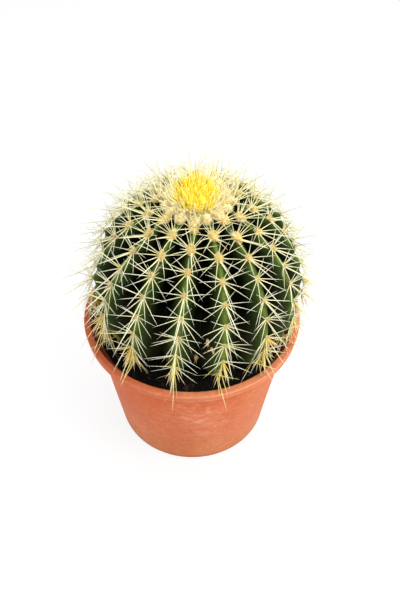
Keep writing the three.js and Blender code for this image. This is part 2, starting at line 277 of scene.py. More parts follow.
class Paint:
    """The nodes of a material or a world, with short ways to add to them."""

    def __init__(self, owner, surface="Principled BSDF"):
        owner.use_nodes = True
        self.owner = owner
        self.nodes = owner.node_tree.nodes
        self.links = owner.node_tree.links
        self.surface = self.nodes[surface]

    def feed(self, socket, value):
        """Sets an input to a value, or links it to the output that is given as the value."""
        if isinstance(value, bpy.types.NodeSocket):
            self.links.new(value, socket)
        elif socket.type == "RGBA":
            socket.default_value = (*value, 1.0)
        else:
            socket.default_value = value

    def add(self, kind, inputs=None, **settings):
        """A new node of a kind, with its inputs fed and its settings made."""
        node = self.nodes.new("ShaderNode" + kind)
        for key, value in settings.items():
            setattr(node, key, value)
        for key, value in (inputs or {}).items():
            self.feed(node.inputs[key], value)
        return node

    def finish(self, inputs):
        """Feeds the surface and returns what the nodes belong to."""
        for key, value in inputs.items():
            self.feed(self.surface.inputs[key], value)
        return self.owner

    def ramp(self, source, stops):
        """A colour ramp from (position, colour) stops."""
        node = self.add("ValToRGB", {"Fac": source})
        elements = node.color_ramp.elements
        while len(elements) < len(stops):
            elements.new(0.5)
        for element, (position, colour) in zip(elements, stops):
            element.position = position
            element.color = (*colour, 1.0)
        return node.outputs["Color"]

    def fade(self, source, low, high, first=0.0, last=1.0):
        """A grey that goes from first to last while the source goes from low to high."""
        return self.ramp(source, [(low, grey(first)), (high, grey(last))])

    def blend(self, share, first, second, mode="MIX"):
        inputs = {0: share, 6: first, 7: second}
        return self.add("Mix", inputs, data_type="RGBA", blend_type=mode).outputs[2]

    def multiply(self, colour, tint):
        return self.blend(1.0, colour, tint, "MULTIPLY")

    def calculate(self, operation, *values):
        """The result of a calculation with one, two or three numbers."""
        return self.add("Math", dict(enumerate(values)), operation=operation).outputs[0]

    def distance(self, coordinates, point):
        """How far the object's surface lies from a point, in metres."""
        inputs = {0: coordinates.outputs["Object"], 1: point}
        return self.add("VectorMath", inputs, operation="DISTANCE").outputs["Value"]

    def noise(self, vector, scale, detail=4.0, roughness=0.55):
        inputs = {"Vector": vector, "Scale": scale, "Detail": detail, "Roughness": roughness}
        return self.add("TexNoise", inputs).outputs["Fac"]

    def place(self, stretch=(1, 1, 1)):
        """The object's own coordinates in metres, stretched along its axes."""
        inputs = {"Vector": self.add("TexCoord").outputs["Object"], "Scale": stretch}
        return self.add("Mapping", inputs).outputs["Vector"]

    def traits(self):
        """The three values that the mesh code stored for every vertex."""
        attribute = self.add("Attribute", attribute_name="traits")
        split = self.add("SeparateColor", {"Color": attribute.outputs["Color"]})
        return split.outputs["Red"], split.outputs["Green"], split.outputs["Blue"]

    def bump(self, height, strength, distance):
        node = self.add("Bump", {"Height": height, "Strength": strength, "Distance": distance})
        self.feed(self.surface.inputs["Normal"], node.outputs["Normal"])


def new_paint(name):
    return Paint(bpy.data.materials.new(name))


# Pot


def wall_radius(height):
    return BASE_RADIUS + (NECK_RADIUS - BASE_RADIUS) * height / WALL_TOP


def arc(centre, radius, start, end, steps):
    """Profile points of a round, between two angles in degrees."""
    angles = [math.radians(mix(start, end, i / steps)) for i in range(steps + 1)]
    return [(centre[0] + radius * math.cos(a), centre[1] + radius * math.sin(a)) for a in angles]


def straight(first, second, steps):
    """Points between two profile points, without the points themselves."""
    shares = [i / steps for i in range(1, steps)]
    return [(mix(first[0], second[0], share), mix(first[1], second[1], share)) for share in shares]


def pot_profile():
    """The pot's section, from the middle of its underside over the lip to the middle of its floor."""
    mouth = RIM_RADIUS - LIP_WIDTH
    base_round = 2.5
    lip_round = 1.1
    inner_round = 0.9
    inside_round = 5.0
    profile = [(0, 0), (PAD_RADIUS - FOOT_EDGE, 0), (PAD_RADIUS, FOOT_EDGE), (PAD_RADIUS + 1, CHANNEL_DEPTH)]
    profile += [(FOOT_INNER_RADIUS - 1, CHANNEL_DEPTH), (FOOT_INNER_RADIUS, FOOT_EDGE)]
    profile += [(FOOT_INNER_RADIUS + FOOT_EDGE, 0)]
    profile += arc((wall_radius(base_round) - base_round, base_round), base_round, -90, -8, 6)
    neck = (wall_radius(WALL_TOP), WALL_TOP)
    profile += straight(profile[-1], neck, 24) + [neck]
    # a shallow moulded ring under the lip, then the flare of the lip
    flare = [(0.35, 0.6), (1.2, 1.5), (2.6, 2.4), (5.0, 2.8)]
    profile += [(neck[0] + outwards, WALL_TOP + rise) for outwards, rise in flare]
    lip_edge = [(-0.7, 0.0), (-0.1, 0.35), (0.1, 1.0)]
    profile += [(RIM_RADIUS - LIP_TAPER + outwards, LIP_BOTTOM + rise) for outwards, rise in lip_edge]
    profile += arc((RIM_RADIUS - lip_round, POT_HEIGHT - lip_round), lip_round, 0, 90, 6)
    profile += arc((mouth + inner_round, POT_HEIGHT - inner_round), inner_round, 90, 200, 5)
    inside_neck = (neck[0] - WALL, WALL_TOP)
    profile += [(mix(mouth, inside_neck[0], 0.55), WALL_TOP + 3.4), inside_neck]
    inside_low = (wall_radius(FLOOR + inside_round) - WALL, FLOOR + inside_round)
    profile += straight(inside_neck, inside_low, 12) + [inside_low]
    profile += arc((inside_low[0] - inside_round, FLOOR + inside_round), inside_round, -15, -90, 4)
    return profile + [(0, FLOOR)]


def cut(piece, tool):
    """Cuts a tool out of a piece for good, and removes the tool."""
    modifier = piece.modifiers.new("cut", "BOOLEAN")
    modifier.operation = "DIFFERENCE"
    modifier.solver = "EXACT"
    modifier.object = tool
    bpy.context.view_layer.objects.active = piece
    bpy.ops.object.modifier_apply(modifier=modifier.name)
    mesh = tool.data
    bpy.data.objects.remove(tool)
    bpy.data.meshes.remove(mesh)


def drain_cutters():
    """One closed form for all drainage holes and outlets in the foot ring."""
    points = []
    faces = []
    sides = 28
    box = [(0, 3, 2, 1), (4, 5, 6, 7), (0, 1, 5, 4), (1, 2, 6, 5), (2, 3, 7, 6), (3, 0, 4, 7)]
    for i in range(DRAIN_COUNT):
        angle = math.tau * i / DRAIN_COUNT
        centre = polar_point(DRAIN_CIRCLE, angle)
        start = len(points)
        for height in (-FLOOR, 3 * FLOOR):
            for side in range(sides):
                spoke = polar_point(1, math.tau * side / sides) * DRAIN_RADIUS
                points.append(centre + spoke + Vector((0, 0, height)))
        faces.append(tuple(reversed(range(start, start + sides))))
        faces.append(tuple(range(start + sides, start + 2 * sides)))
        faces.extend([tuple(start + corner for corner in quad) for quad in ring_quads(2, sides)])
        along = polar_point(1, angle + math.pi / DRAIN_COUNT)
        across = Vector((-along.y, along.x, 0)) * (OUTLET_WIDTH / 2)
        start = len(points)
        for reach in (FOOT_INNER_RADIUS - 2, BASE_RADIUS + 6):
            for side, level in ((-1, -1), (1, -1), (1, 1), (-1, 1)):
                points.append(along * reach + across * side + Vector((0, 0, level * CHANNEL_DEPTH)))
        faces.extend([tuple(start + corner for corner in face) for face in box])
    return points, faces


def height_tint(paint, rise):
    """Tints by height: dark foot, dusty wall, a painted shadow line under the lip, then the side and top of
    the lip painted paler as a painted highlight, palest along the rounded top edge.
    """
    bands = [
        (0.0, (0.5, 0.7, 0.75)),
        (1.2, (0.72, 0.95, 1.0)),
        (6.0, (0.96, 1.27, 1.42)),
        (46.0, (1.03, 1.13, 1.35)),
        (83.0, (1.06, 1.02, 0.97)),
        (LIP_BOTTOM - 3.0, (1.08, 0.95, 0.78)),
        # painted shadow: a dark line along the lip's lower edge
        (LIP_BOTTOM, (0.96, 0.82, 0.64)),
        (LIP_BOTTOM + 0.3, (0.78, 0.6, 0.45)),
        (LIP_BOTTOM + 0.9, (0.85, 0.68, 0.52)),
        # painted highlight: the side and top of the lip painted paler, palest along the rounded top edge
        (LIP_BOTTOM + 1.7, (1.3, 1.85, 2.7)),
        (LIP_BOTTOM + 3.2, (1.13, 1.5, 2.05)),
        (POT_HEIGHT - 2.2, (1.13, 1.5, 2.0)),
        (POT_HEIGHT - 1.0, (1.3, 2.1, 3.4)),
        (POT_HEIGHT - 0.4, (1.12, 1.75, 2.9)),
        (POT_HEIGHT, (1.03, 1.56, 2.35)),
    ]
    return paint.ramp(rise, [(height / POT_HEIGHT, colour) for height, colour in bands])


def outside_share(paint, coordinates):
    """1 on the pot's outside, and 0 inside, where the normals point towards the axis."""
    outwards_inputs = {0: coordinates.outputs["Object"], 1: (10, 10, 0)}
    outwards = paint.add("VectorMath", outwards_inputs, operation="MULTIPLY")
    facing_inputs = {0: outwards.outputs["Vector"], 1: coordinates.outputs["Normal"]}
    facing = paint.add("VectorMath", facing_inputs, operation="DOT_PRODUCT")
    return paint.fade(paint.calculate("ADD", facing.outputs["Value"], 0.5), 0.25, 0.45)


def lip_tint(paint, rise, sideways):
    """The lip's painted highlight fades out towards the left, where the lip is painted darker as painted
    shade.
    """
    lip_left_shade_stops = [
        (-62.0, (0.8, 0.52, 0.4)),
        (-40.0, (0.87, 0.64, 0.56)),
        (-20.0, (0.96, 0.73, 0.59)),
        (-3.0, (1.0, 1.0, 1.0)),
    ]
    share = paint.calculate("MULTIPLY_ADD", sideways, 1 / (2 * RIM_RADIUS * MM), 0.5)
    lip_left_shade = paint.ramp(share, [(0.5 + 0.5 * x / RIM_RADIUS, colour) for x, colour in lip_left_shade_stops])
    on_lip = paint.fade(rise, (LIP_BOTTOM - 1.6) / POT_HEIGHT, (LIP_BOTTOM + 0.4) / POT_HEIGHT)
    return paint.blend(on_lip, grey(1), lip_left_shade)


def pot_material():
    paint = new_paint("terracotta_coloured_plastic")
    place = paint.place()
    coordinates = paint.add("TexCoord")
    split = paint.add("SeparateXYZ", {"Vector": coordinates.outputs["Object"]})
    rise = paint.calculate("MULTIPLY", split.outputs["Z"], 1 / (POT_HEIGHT * MM))
    body_stops = [(0.3, (0.52, 0.105, 0.029)), (0.5, (0.578, 0.127, 0.036)), (0.72, (0.622, 0.16, 0.055))]
    body = paint.ramp(paint.noise(place, 22, 5), body_stops)
    outside = outside_share(paint, coordinates)
    body = paint.multiply(body, paint.blend(outside, (0.72, 0.82, 0.9), height_tint(paint, rise)))
    body = paint.multiply(body, lip_tint(paint, rise, split.outputs["X"]))
    # a painted highlight high on the right, palest towards its middle
    from_painted_highlight = paint.distance(coordinates, (0.055, -0.05, 0.08))
    body = paint.multiply(body, paint.ramp(from_painted_highlight, [(0.006, (1.06, 1.45, 1.8)), (0.042, grey(1))]))
    # small mottling all over
    mottle_stops = [(0.3, (0.86, 0.83, 0.78)), (0.5, (1.0, 1.0, 1.0)), (0.7, (1.08, 1.2, 1.3))]
    body = paint.multiply(body, paint.ramp(paint.noise(place, 260, 6, 0.75), mottle_stops))
    # pale dusty scuffs that run round the wall, thickest on a patch at the front
    scuffs = paint.noise(paint.place((1, 1, 2.2)), 110, 8, 0.75)
    from_patch = paint.distance(coordinates, (0.004, -0.072, 0.072))
    patches = paint.fade(paint.noise(place, 17, 3), 0.5, 0.7, 0, 0.4)
    where = paint.blend(1.0, patches, paint.fade(from_patch, 0.004, 0.034, 0.95, 0), "ADD")
    scuff_share = paint.multiply(paint.fade(scuffs, 0.46, 0.68, 0, 0.7), where)
    body = paint.blend(scuff_share, body, (0.80, 0.44, 0.30))
    # fine specks of lime, and stains of soil
    specks = paint.fade(paint.noise(place, 420, 2), 0.69, 0.76, 0, 0.6)
    body = paint.blend(specks, body, (0.84, 0.56, 0.42))
    stains = paint.fade(paint.noise(place, 95, 4, 0.7), 0.6, 0.8, 0, 0.4)
    body = paint.blend(stains, body, (0.3, 0.08, 0.03))
    paint.bump(paint.noise(paint.place((1, 1, 5)), 160, 6, 0.7), 0.3, 0.0007)
    roughness = paint.fade(scuffs, 0.3, 0.7, 0.52, 0.72)
    return paint.finish({"Base Color": body, "Roughness": roughness, "Specular IOR Level": 0.2})


def make_pot():
    build = Build()
    points, faces = revolve(pot_profile(), POT_COLUMNS)
    wobbled = []
    for point in points:
        swell = 0.35 * noise.noise(Vector(point) / 55)
        reach = math.hypot(point[0], point[1])
        share = (reach + swell * smoothstep(reach, 30, 60)) / reach if reach > 0 else 1
        wobbled.append((point[0] * share, point[1] * share, point[2]))
    build.add(wobbled, faces, [])
    piece = new_piece("pot_shell", build, pot_material(), ("pot",))
    cut(piece, add_object("drains", new_mesh("drains", *drain_cutters())))
    smooth_faces(piece.data)
    piece.data.set_sharp_from_angle(angle=math.radians(38))


# Stem


def crest_point(angle):
    rise = STEM_ABOVE if angle > 0 else STEM_BELOW
    return STEM_RADIUS * math.cos(angle), STEM_MIDDLE + rise * math.sin(angle)


def furrow_depth(radius, angle):
    if angle > 0:
        return RIB_DEPTH * smoothstep(radius, SMOOTH_TOP_RADIUS, FULL_RIB_RADIUS)
    return RIB_DEPTH * radius / STEM_RADIUS


def rib_phase(rib):
    return (rib * AREOLE_SPIRAL / RIBS) % 1


def areole_angles(rib):
    """Angles up the stem of a rib's areoles, from the top down."""
    angle = AREOLE_ANGLE + (1 - rib_phase(rib)) * AREOLE_STEP
    while angle > HIGHEST_AREOLE:
        angle -= AREOLE_STEP
    while angle > LOWEST_AREOLE:
        yield angle
        angle -= AREOLE_STEP


def stem_surface(rib, place, angle):
    """A point of the stem's skin, in the part's frame: place is -0.5 to 0.5 across the rib."""
    crest, height = crest_point(angle)
    rounded = math.hypot(place, RIB_ROUNDING) - RIB_ROUNDING
    depth = rounded / (math.hypot(0.5, RIB_ROUNDING) - RIB_ROUNDING)
    furrow = depth * furrow_depth(crest, angle)
    # the rib swells at each areole and has a shallow notch between two of them
    turns = (AREOLE_ANGLE - angle) / AREOLE_STEP - rib_phase(rib)
    swell = 0.9 * (math.cos(math.tau * turns) - 0.4) * math.exp(-((place / 0.16) ** 2))
    swell *= smoothstep(crest, SMOOTH_TOP_RADIUS, 38)
    azimuth = RIB_START + RIB_TWIST * angle + (rib + place) * PITCH
    ripple = 0.45 * noise.noise(Vector((azimuth * 9, angle * 14, 0.3))) * smoothstep(crest, 20, 45)
    radius = max(crest - furrow + swell + ripple, 0.0)
    return polar_point(radius, azimuth, height + 0.25 * ripple), depth


def stem_material():
    paint = new_paint("cactus_skin")
    depth, rise, _ = paint.traits()
    # the skin's own green on the crests, painted darker down into the furrows to near black as painted shade
    skin_and_furrow_shade_stops = [
        (0.0, (0.11, 0.158, 0.028)),
        (0.055, (0.05, 0.083, 0.0125)),
        (0.16, (0.02, 0.036, 0.0048)),
        (0.38, (0.0062, 0.0112, 0.0014)),
        (0.6, (0.0004, 0.0006, 0.0001)),
    ]
    # low down the painted shade in the furrows is dark green, not black
    low_furrow_green = paint.ramp(rise, [(0.34, (0.011, 0.0123, 0.0042)), (0.56, grey(0))])
    skin = paint.blend(1.0, paint.ramp(depth, skin_and_furrow_shade_stops), low_furrow_green, "ADD")
    place = paint.place()
    patches = paint.noise(place, 90, 4)
    skin = paint.multiply(skin, paint.fade(patches, 0.35, 0.68, 0.72, 1.3))
    # a fine greyish bloom on the flanks
    bloom = paint.noise(place, 900, 3)
    skin = paint.multiply(skin, paint.ramp(bloom, [(0.5, grey(1.0)), (0.75, (1.6, 1.6, 1.8))]))
    # corky brown at the foot of the plant
    cork_share = paint.ramp(rise, [(0.0, grey(0.75)), (0.1, grey(0.25)), (0.2, grey(0))])
    skin = paint.blend(cork_share, skin, (0.075, 0.055, 0.024))
    paint.bump(paint.noise(place, 1500, 3), 0.25, 0.0003)
    roughness = paint.fade(patches, 0.3, 0.7, 0.38, 0.56)
    return paint.finish({"Base Color": skin, "Roughness": roughness, "Specular IOR Level": 0.03})


def make_stem():
    """The ribbed stem with its buried stub. The traits: depth in the furrow, share of the height."""
    columns = RIBS * COLUMNS_PER_RIB
    root = [(0.0, ROOT_BOTTOM), (10.0, ROOT_BOTTOM), (ROOT_RADIUS, ROOT_BOTTOM + 6)]
    points = []
    values = []
    for radius, height in root:
        for column in range(columns):
            azimuth = RIB_START + RIB_TWIST * BURIED_ANGLE + column * math.tau / columns
            points.append(polar_point(radius, azimuth, height))
            values.append((1.0, 0.0, 0.0))
    for row in range(STEM_ROWS + 1):
        angle = mix(BURIED_ANGLE, TOP_ANGLE, row / STEM_ROWS)
        for column in range(columns):
            rib = column // COLUMNS_PER_RIB
            place = (column % COLUMNS_PER_RIB) / COLUMNS_PER_RIB
            if place >= 0.5:
                rib += 1
                place -= 1
            point, depth = stem_surface(rib % RIBS, place, angle)
            points.append(point)
            values.append((depth, row / STEM_ROWS, 0.0))
    apex = len(points)
    points.append(Vector((0, 0, STEM_MIDDLE + STEM_ABOVE)))
    values.append((0.0, 1.0, 0.0))
    faces = list(ring_quads(len(root) + STEM_ROWS + 1, columns)) + fan(apex - columns, columns, apex)
    build = Build()
    build.add([PLANT_PLACE @ p for p in points], faces, values)
    piece = new_piece("ribbed_stem", build, stem_material(), ("cactus",))
    merge = bmesh.new()
    merge.from_mesh(piece.data)
    bmesh.ops.remove_doubles(merge, verts=merge.verts, dist=0.00001)
    merge.to_mesh(piece.data)
    merge.free()
    return piece


# Areoles and spines


def areole_frame(rib, angle):
    """An areole's place and the directions out of the rib, down along it and across it."""
    place, _ = stem_surface(rib, 0.0, angle)
    azimuth = RIB_START + RIB_TWIST * angle + rib * PITCH
    around = Vector((-math.sin(azimuth), math.cos(azimuth), 0))
    rise = STEM_ABOVE if angle > 0 else STEM_BELOW
    outwards = polar_point(1, azimuth)
    along = outwards * (-STEM_RADIUS * math.sin(angle)) + Vector((0, 0, rise * math.cos(angle)))
    down = -along.normalized()
    out = around.cross(down)
    if out.dot(outwards) + out.z * math.sin(angle) < 0:
        out.negate()
    return PLANT_PLACE @ place, PLANT_TURN @ out.normalized(), PLANT_TURN @ down, PLANT_TURN @ around


# Spines of one areole: degrees from straight down, degrees off the surface, length, root radius
RADIAL_SPINES = [
    (-36, 19, 20.5, 0.41),
    (38, 20, 20.5, 0.41),
    (-70, 17, 20.5, 0.39),
    (68, 18, 20.5, 0.39),
    (-101, 21, 19.5, 0.38),
    (103, 21, 19.5, 0.38),
    (-137, 30, 15, 0.36),
    (140, 30, 15, 0.36),
    (14, 21, 22, 0.4),
]
CENTRAL_SPINES = [(2, 42, 28, 0.57)]
UPPER_CENTRAL_SPINES = [(-118, 50, 25, 0.38), (114, 50, 25, 0.38), (170, 62, 21, 0.37)]
YOUNG_SPINES = [
    (-160, 44, 17, 0.4),
    (165, 46, 17, 0.4),
    (-122, 36, 14, 0.36),
    (126, 38, 14, 0.36),
    (-62, 56, 15, 0.36),
    (78, 58, 15, 0.36),
]
BASAL_SPINES = [
    (6, 46, 25, 0.56),
    (-8, 36, 18, 0.54),
    (-21, 32, 16, 0.48),
    (23, 30, 16, 0.48),
    (0, 60, 14, 0.46),
    (-38, 44, 13, 0.42),
    (35, 48, 13, 0.42),
]
SIDE_BASAL_SPINES = [
    (-30, 12, 18, 0.46),
    (28, 14, 18, 0.46),
    (-54, 18, 16, 0.44),
    (52, 18, 16, 0.44),
    (8, 10, 21, 0.46),
    (-12, 22, 16, 0.46),
    (70, 30, 13, 0.42),
    (-74, 28, 13, 0.42),
]

# How low a spine may reach, by its distance from the pot's axis: over the soil, the lip and the air outside
CLEAR_REACHES = [60.0, 73.0, 79.0, 86.5, 100.0]
CLEAR_HEIGHTS = [107.0, 108.5, 116.2, 116.2, 92.0]


def clear_direction(place, direction, length):
    """Lifts a spine's direction until the spine passes over the soil and the pot's lip."""
    for _ in range(30):
        clear = True
        for share in (0.3, 0.5, 0.7, 0.85, 1.0):
            point = place + direction * length * share
            lowest = np.interp(math.hypot(point.x, point.y), CLEAR_REACHES, CLEAR_HEIGHTS)
            if point.z < min(lowest, place.z - 0.2):
                clear = False
        if clear:
            break
        direction = (direction + Vector((0, 0, 0.07))).normalized()
    return direction


def add_spine(build, place, direction, length, radius, bend, traits_of, sink=1.6):
    """A slightly curved spine from just under the felt to its tip, full to near the tip."""
    steps = 6
    sides = 6
    path = []
    radii = []
    values = []
    for step in range(steps + 1):
        share = step / steps
        along = length * share - sink * (1 - share)
        path.append(place + direction * along + bend * (length * share * share))
        radii.append(radius * (1 - share) ** 0.55 * (1 - 0.3 * share))
        values.extend([(share, *traits_of)] * (sides if step < steps else 1))
    build.add(*spike_points(path, radii, sides), values)


def spine_material():
    """The traits: share of the length, age of the areole, a tone by chance."""
    paint = new_paint("spines")
    along, age, vary = paint.traits()
    young_stops = [(0.0, (0.80, 0.63, 0.18)), (0.2, (0.83, 0.77, 0.41)), (1.0, (0.87, 0.83, 0.55))]
    grown_stops = [
        (0.0, (0.70, 0.57, 0.15)),
        (0.16, (0.75, 0.72, 0.40)),
        (0.6, (0.76, 0.75, 0.56)),
        (1.0, (0.71, 0.70, 0.58)),
    ]
    basal_stops = [
        (0.0, (0.58, 0.38, 0.02)),
        (0.35, (0.74, 0.58, 0.12)),
        (0.7, (0.82, 0.69, 0.34)),
        (1.0, (0.84, 0.71, 0.46)),
    ]
    young_share = paint.fade(age, 0.05, 0.3, 1, 0)
    colour = paint.blend(young_share, paint.ramp(along, grown_stops), paint.ramp(along, young_stops))
    colour = paint.blend(paint.fade(age, 0.56, 0.66), colour, paint.ramp(along, basal_stops))
    colour = paint.multiply(colour, paint.fade(vary, 0.0, 1.0, 0.79, 1.15))
    # fine rings across the spine, as it grew
    wave = paint.calculate("SINE", paint.calculate("MULTIPLY", along, 260.0))
    paint.bump(wave, 0.08, 0.0001)
    return paint.finish({
        "Base Color": colour,
        "Roughness": 0.38,
        "Subsurface Weight": 0.25,
        "Subsurface Radius": (0.0012, 0.0009, 0.0005),
    })


def felt_material():
    """The traits: 0 on a cushion and 0.8 on its fuzz, age of the areole, a tone by chance."""
    paint = new_paint("areole_felt")
    fuzz, age, vary = paint.traits()
    pad_stops = [(0.0, (0.79, 0.57, 0.18)), (0.3, (0.70, 0.52, 0.17)), (0.8, (0.69, 0.57, 0.22))]
    colour = paint.blend(fuzz, paint.ramp(age, pad_stops), (0.78, 0.65, 0.28))
    colour = paint.multiply(colour, paint.fade(vary, 0.0, 1.0, 0.66, 1.06))
    paint.bump(paint.noise(paint.place(), 2600, 3), 0.7, 0.0004)
    return paint.finish({"Base Color": colour, "Roughness": 0.95, "Sheen Weight": 0.4})


def pad_size(angle):
    """Half the length of a felt pad: large and young near the top, small and worn low down."""
    return float(np.interp(math.degrees(angle), [-30, 30, 40, 51, 62, 74], [1.7, 1.8, 2.2, 3.0, 4.0, 4.8]))


def add_felt(felt, rng, place, axes, size, age):
    """A lumpy cushion with short fuzz all over."""
    around, down, out = axes
    thick = 0.45 * size
    sizes = (size * 0.78, size, thick)
    points, faces = lump_points(place + out * 0.2, sizes, axes, 3, 0.5, rng.random() * 90)
    felt.add(points, faces, [(0.0, age, 0.5 + 0.6 * noise.noise(p * 1.3)) for p in points])
    for _ in range(int(9 * size * size)):
        turn = rng.uniform(0, math.tau)
        spread = math.sqrt(rng.random())
        lean = around * (spread * 0.84 * math.cos(turn)) + down * (spread * math.sin(turn))
        root = place + lean * size * 0.94 + out * (thick * 0.85 * math.sqrt(1 - spread * spread * 0.9))
        hair = (out * rng.uniform(0.5, 1.2) + lean * rng.uniform(0.4, 1.3)).normalized()
        tip = root + hair * rng.uniform(0.9, 1.7)
        add_hair(felt, root, tip, 0.14, (0.8, age, rng.random()))


def spines_of_areole(rng, angle, young, facing):
    """The spines that an areole bears. It faces left at -1, forwards or backwards at 0 and right at 1."""
    # the sides bear more of the upper spines than the front
    upper_share = 0.55 + 0.3 * abs(facing) - 0.1 * facing
    upper = [spine for spine in UPPER_CENTRAL_SPINES if rng.random() < upper_share]
    if angle >= LOWEST_IVORY_AREOLE:
        return RADIAL_SPINES + CENTRAL_SPINES + upper + (YOUNG_SPINES if young > 0.3 else [])
    golden = RADIAL_SPINES[2:6] + BASAL_SPINES
    if angle < LOWEST_OPEN_AREOLE:
        golden = BASAL_SPINES[:3]
    return golden + SIDE_BASAL_SPINES if abs(facing) > SIDE_FACING else golden


def make_areoles():
    rng = random.Random(7)
    spines = Build()
    felt = Build()
    for rib in range(RIBS):
        for angle in areole_angles(rib):
            place, out, down, around = areole_frame(rib, angle)
            age = (HIGHEST_AREOLE - angle) / (HIGHEST_AREOLE - LOWEST_AREOLE)
            young = smoothstep(angle, YOUNG_FROM, YOUNG_TO)
            size = pad_size(angle) * rng.uniform(0.93, 1.07)
            add_felt(felt, rng, place, (around, down, out), size, age)
            # the spines on the left side are a little longer
            vigour = 1.02 - 0.09 * out.x
            for spine in spines_of_areole(rng, angle, young, out.x):
                turn, lift, length, radius = spine
                tone = min(age, 0.5) if spine in RADIAL_SPINES else age
                turned = math.radians(turn + rng.uniform(-9, 9))
                raised = math.radians(lift + mix(0, 22, young) + rng.uniform(-7, 7))
                sideways = down * math.cos(turned) + around * math.sin(turned)
                direction = sideways * math.cos(raised) + out * math.sin(raised)
                reach = length * rng.uniform(0.86, 1.11) * mix(vigour, 0.87, young)
                bend = down * rng.uniform(-0.02, 0.1) - out * rng.uniform(-0.02, 0.1)
                bend += around * rng.uniform(-0.05, 0.05)
                start = place + sideways * (size * 0.4)
                direction = clear_direction(start, direction, reach)
                add_spine(spines, start, direction, reach, radius, bend, (tone, rng.random()))
    new_piece("areole_felt", felt, felt_material(), ("cactus",))
    new_piece("spines", spines, spine_material(), ("cactus",))


# Crown

WOOL_RADIUS = 20.0
WOOL_HAIRS = 260
# Rings of lumps: distance from the axis, size, turn in ribs
WOOL_RINGS = [(21.0, 4.5, 0.0), (17.6, 3.5, 0.5)]
INNER_SPINES = 460
OUTER_SPINES = 170
INNER_REACH = 14.0
OUTER_REACH = 19.8
GOLDEN_ANGLE = math.pi * (3 - math.sqrt(5))
TUFT_OFFSET = Vector((-1.0, -1.2, 0.0))
TUFT_STRETCH = 1.14
TUFT_LEAN = Vector((0, -0.14, 0))


def top_height(radius):
    return STEM_MIDDLE + STEM_ABOVE * math.sqrt(1 - (radius / STEM_RADIUS) ** 2)


def wool_material():
    """The traits: the second is 0 in the middle and 1 on the ring of lumps, the third a tone by chance."""
    paint = new_paint("crown_wool")
    _, ring, vary = paint.traits()
    ring_stops = [(0.0, (0.97, 0.81, 0.03)), (0.5, (0.96, 0.80, 0.15)), (0.85, (0.95, 0.80, 0.40))]
    colour = paint.multiply(paint.ramp(ring, ring_stops), paint.fade(vary, 0.0, 1.0, 0.9, 1.05))
    # painted shade: small dark spots on the ring of lumps, as of shaded hollows between the lumps
    place = paint.place()
    hollow_shade_stops = [(0.36, (0.72, 0.6, 0.36)), (0.47, grey(1.0))]
    hollow_shade = paint.ramp(paint.noise(place, 620, 3), hollow_shade_stops)
    colour = paint.multiply(colour, paint.blend(paint.fade(ring, 0.7, 0.85), grey(1), hollow_shade))
    paint.bump(paint.noise(place, 2200, 4), 0.8, 0.0006)
    return paint.finish({
        "Base Color": colour,
        "Roughness": 0.95,
        "Sheen Weight": 0.5,
        "Subsurface Weight": 0.35,
        "Subsurface Radius": (0.003, 0.0024, 0.0014),
    })


def young_spine_material():
    """The traits: share of the length, 0 in the yellow tuft to 1 round it, a tone by chance."""
    paint = new_paint("young_spines")
    along, ring, vary = paint.traits()
    inner_stops = [
        (0.0, (0.98, 0.81, 0.02)),
        (0.3, (0.98, 0.80, 0.02)),
        (0.75, (0.98, 0.79, 0.06)),
        (1.0, (0.96, 0.82, 0.31)),
    ]
    outer_stops = [(0.0, (0.93, 0.76, 0.28)), (0.35, (0.94, 0.85, 0.47)), (1.0, (0.95, 0.92, 0.72))]
    outer_share = paint.fade(ring, 0.42, 0.66)
    colour = paint.blend(outer_share, paint.ramp(along, inner_stops), paint.ramp(along, outer_stops))
    colour = paint.multiply(colour, paint.fade(vary, 0.0, 1.0, 0.94, 1.05))
    return paint.finish({
        "Base Color": colour,
        "Roughness": 0.4,
        "Subsurface Weight": 0.3,
        "Subsurface Radius": (0.0015, 0.001, 0.0004),
    })


def crown_root(reach, azimuth, lift):
    """A point over the top of the stem, at a distance from the plant's axis."""
    return polar_point(reach, azimuth, top_height(reach) + lift)


def add_wool_dome(wool):
    rows = 22
    profile = []
    for row in range(rows + 1):
        share = row / rows
        radius = share * WOOL_RADIUS
        dome = 2.2 * (1 - share ** 4) + 3.4 * (1 - smoothstep(radius, 8.0, 14.5))
        profile.append((radius, top_height(radius) + 0.3 + dome))
    profile.append((WOOL_RADIUS * 0.97, top_height(WOOL_RADIUS) - 0.3))
    profile.append((0.0, top_height(0) - 0.5))
    points, faces = revolve(profile, 90)
    shaped = []
    values = []
    for point in points:
        vector = Vector(point)
        reach = math.hypot(vector.x, vector.y) / WOOL_RADIUS
        vector.z += 1.2 * noise.noise(vector / 2.6) * (1 - smoothstep(reach, 0.9, 1.0))
        shaped.append(PLANT_PLACE @ vector)
        values.append((0.0, reach * 0.8, 0.5 + 0.5 * noise.noise(vector / 1.3)))
    wool.add(shaped, faces, values)


